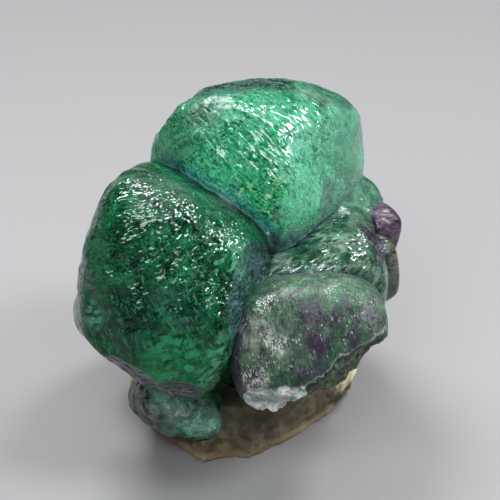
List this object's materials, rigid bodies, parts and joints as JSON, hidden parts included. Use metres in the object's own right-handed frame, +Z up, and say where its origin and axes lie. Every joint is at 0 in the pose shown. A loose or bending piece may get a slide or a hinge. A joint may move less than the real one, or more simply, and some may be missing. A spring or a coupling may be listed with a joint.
{
  "type": "fluorite crystal cluster",
  "caption": "Cluster of rounded, domed green fluorite cubes with purple zones, grown together on a small wedge of brown-grey matrix rock that rests flat.",
  "frame": {"origin": "on the rock's flat resting face, under the middle of the cluster", "axes": "+Z up, away from the surface it rests on; -Y towards the side on show, with the front and lower left crystals"},
  "size_m": [0.042, 0.0444, 0.0443],
  "materials": {
    "fluorite": "translucent, lustrous stepped faces",
    "matrix": "dull natural rock"
  },
  "bodies": {
    "root": {"fluorite_crystals": "fluorite", "matrix": "matrix"}
  },
  "joints": []
}
